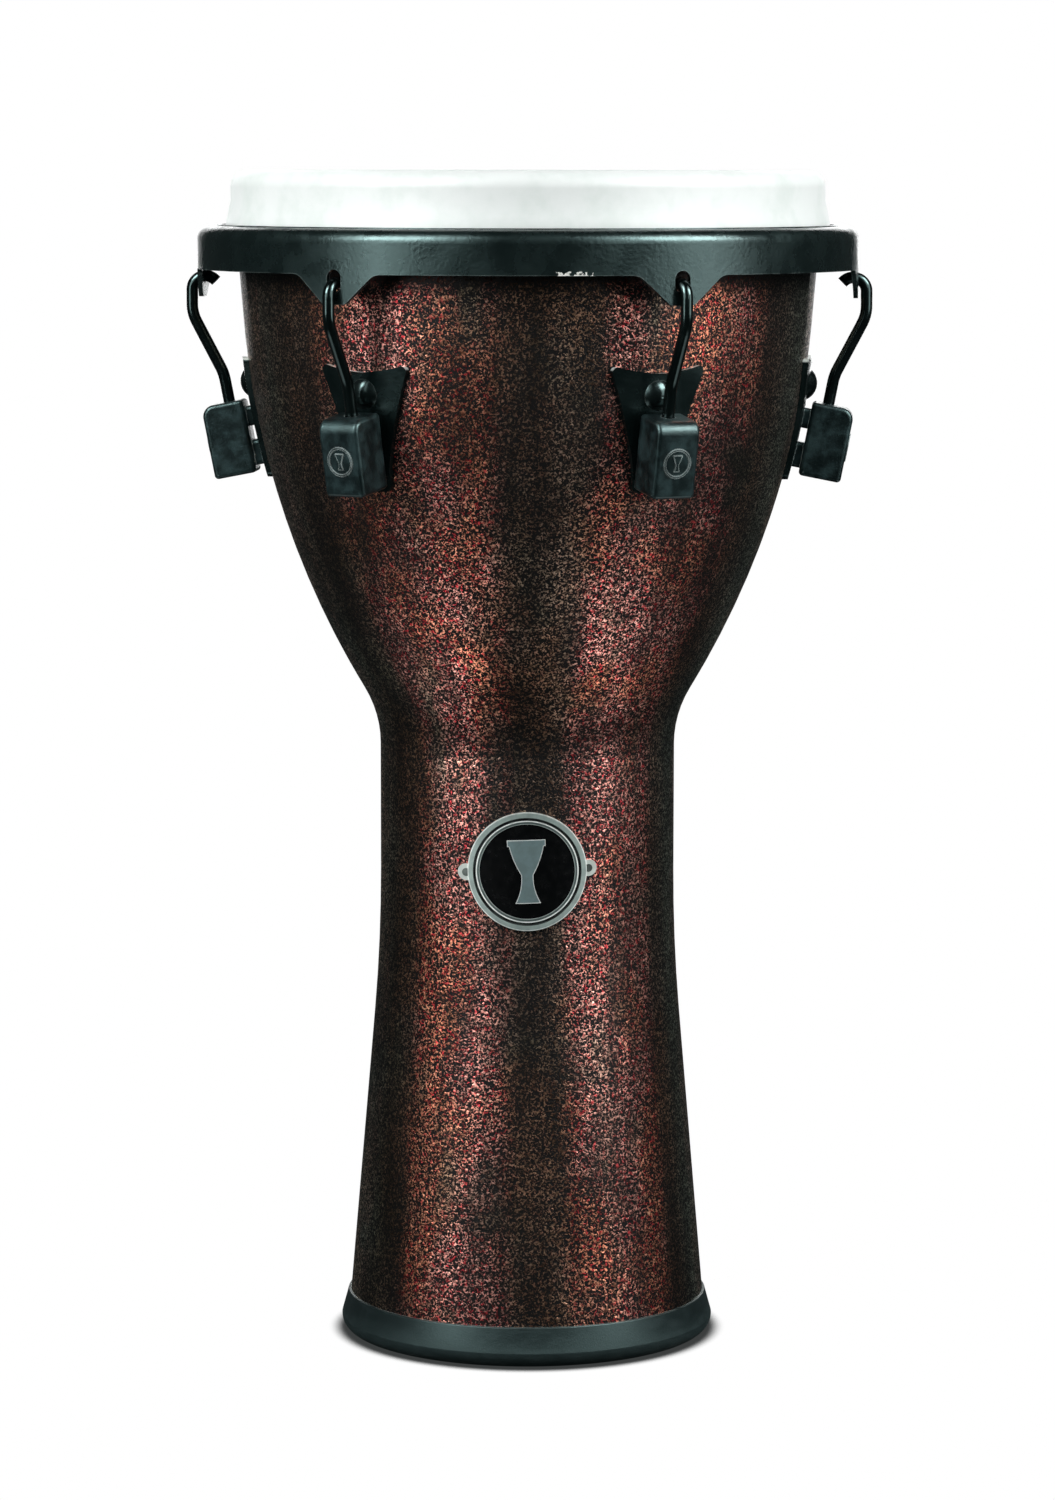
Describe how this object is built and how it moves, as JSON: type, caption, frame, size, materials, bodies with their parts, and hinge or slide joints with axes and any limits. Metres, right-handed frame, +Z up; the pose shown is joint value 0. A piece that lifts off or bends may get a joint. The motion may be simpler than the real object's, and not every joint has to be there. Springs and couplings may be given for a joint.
{
  "type": "djembe",
  "caption": "Goblet hand drum with a one-piece flared shell, synthetic head, steel counter hoop, hooked tension rods drawn by nuts in side lugs, round badge and rubber foot ring.",
  "frame": {"origin": "centre of the foot ring's underside, on the floor", "axes": "+Z up the drum's axis to the head, -Y the side with the badge, +X to the right seen from the badge side"},
  "size_m": [0.3704, 0.356, 0.635],
  "materials": {
    "shell_finish": "fine speckled wrap, black-brown with copper and pale flecks, satin",
    "head_film": "coated white film, slightly translucent",
    "black_steel": "satin black powder coat",
    "black_fastener": "black oxide",
    "lug_grey": "dark grey, fine satin texture, edges slightly rubbed",
    "flesh_hoop": "mill",
    "rubber": "matt moulded",
    "zinc": "zinc plated",
    "badge_metal": "brushed",
    "badge_enamel": "gloss enamel fill"
  },
  "bodies": {
    "drum": {"shell": "shell_finish", "foot_ring": "rubber", "head_film": "head_film", "badge_plate": "badge_metal", "badge_enamel": "badge_enamel", "badge_emblem": "badge_metal", "badge_pins": "badge_metal", "carriage_bolts": "black_fastener", "carriage_washers": "zinc", "carriage_nuts": "zinc", "lug_screws": "zinc", "lug_screw_washers": "zinc", "tuning_washers": "zinc", "side_plate_1": "black_steel", "lug_block_1": "lug_grey", "side_plate_2": "black_steel", "lug_block_2": "lug_grey", "side_plate_3": "black_steel", "lug_block_3": "lug_grey", "side_plate_4": "black_steel", "lug_block_4": "lug_grey", "side_plate_5": "black_steel", "lug_block_5": "lug_grey", "side_plate_6": "black_steel", "lug_block_6": "lug_grey"},
    "hoop": {"counter_hoop": "black_steel", "flesh_hoop": "flesh_hoop"},
    "hook_1": {"tension_hook_1": "black_steel"},
    "nut_1": {"tuning_nut_1": "zinc"},
    "hook_2": {"tension_hook_2": "black_steel"},
    "nut_2": {"tuning_nut_2": "zinc"},
    "hook_3": {"tension_hook_3": "black_steel"},
    "nut_3": {"tuning_nut_3": "zinc"},
    "hook_4": {"tension_hook_4": "black_steel"},
    "nut_4": {"tuning_nut_4": "zinc"},
    "hook_5": {"tension_hook_5": "black_steel"},
    "nut_5": {"tuning_nut_5": "zinc"},
    "hook_6": {"tension_hook_6": "black_steel"},
    "nut_6": {"tuning_nut_6": "zinc"}
  },
  "joints": [
    {"name": "hoop_slide", "type": "slide", "parent": "drum", "child": "hoop", "axis": [0, 0, 1], "range_m": [-0.0025, 0.0025], "deforming": ["head_film"]},
    {"name": "hook_1_slide", "type": "slide", "parent": "drum", "child": "hook_1", "axis": [0.0842, -0.1712, 0.9816], "range_m": [-0.00256, 0.00256]},
    {"name": "nut_1_spin", "type": "hinge", "parent": "drum", "child": "nut_1", "pos_m": [0.07174, -0.1458, 0.51], "axis": [0.0842, -0.1712, 0.9816], "range_deg": [-920, 920]},
    {"name": "hook_2_slide", "type": "slide", "parent": "drum", "child": "hook_2", "axis": [0.1904, -0.0126, 0.9816], "range_m": [-0.00256, 0.00256]},
    {"name": "nut_2_spin", "type": "hinge", "parent": "drum", "child": "nut_2", "pos_m": [0.16214, -0.01077, 0.51], "axis": [0.1904, -0.0126, 0.9816], "range_deg": [-920, 920]},
    {"name": "hook_3_slide", "type": "slide", "parent": "drum", "child": "hook_3", "axis": [0.1061, 0.1586, 0.9816], "range_m": [-0.00256, 0.00256]},
    {"name": "nut_3_spin", "type": "hinge", "parent": "drum", "child": "nut_3", "pos_m": [0.0904, 0.13503, 0.51], "axis": [0.1061, 0.1586, 0.9816], "range_deg": [-920, 920]},
    {"name": "hook_4_slide", "type": "slide", "parent": "drum", "child": "hook_4", "axis": [-0.0842, 0.1712, 0.9816], "range_m": [-0.00256, 0.00256]},
    {"name": "nut_4_spin", "type": "hinge", "parent": "drum", "child": "nut_4", "pos_m": [-0.07174, 0.1458, 0.51], "axis": [-0.0842, 0.1712, 0.9816], "range_deg": [-920, 920]},
    {"name": "hook_5_slide", "type": "slide", "parent": "drum", "child": "hook_5", "axis": [-0.1904, 0.0126, 0.9816], "range_m": [-0.00256, 0.00256]},
    {"name": "nut_5_spin", "type": "hinge", "parent": "drum", "child": "nut_5", "pos_m": [-0.16214, 0.01077, 0.51], "axis": [-0.1904, 0.0126, 0.9816], "range_deg": [-920, 920]},
    {"name": "hook_6_slide", "type": "slide", "parent": "drum", "child": "hook_6", "axis": [-0.1061, -0.1586, 0.9816], "range_m": [-0.00256, 0.00256]},
    {"name": "nut_6_spin", "type": "hinge", "parent": "drum", "child": "nut_6", "pos_m": [-0.0904, -0.13503, 0.51], "axis": [-0.1061, -0.1586, 0.9816], "range_deg": [-920, 920]}
  ],
  "couplings": [
    {"joint": "hook_1_slide", "follows": "hoop_slide", "ratio": 1.0187},
    {"joint": "nut_1_spin", "follows": "hoop_slide", "rad_per_m": -6400.8},
    {"joint": "hook_2_slide", "follows": "hoop_slide", "ratio": 1.0187},
    {"joint": "nut_2_spin", "follows": "hoop_slide", "rad_per_m": -6400.8},
    {"joint": "hook_3_slide", "follows": "hoop_slide", "ratio": 1.0187},
    {"joint": "nut_3_spin", "follows": "hoop_slide", "rad_per_m": -6400.8},
    {"joint": "hook_4_slide", "follows": "hoop_slide", "ratio": 1.0187},
    {"joint": "nut_4_spin", "follows": "hoop_slide", "rad_per_m": -6400.8},
    {"joint": "hook_5_slide", "follows": "hoop_slide", "ratio": 1.0187},
    {"joint": "nut_5_spin", "follows": "hoop_slide", "rad_per_m": -6400.8},
    {"joint": "hook_6_slide", "follows": "hoop_slide", "ratio": 1.0187},
    {"joint": "nut_6_spin", "follows": "hoop_slide", "rad_per_m": -6400.8}
  ]
}
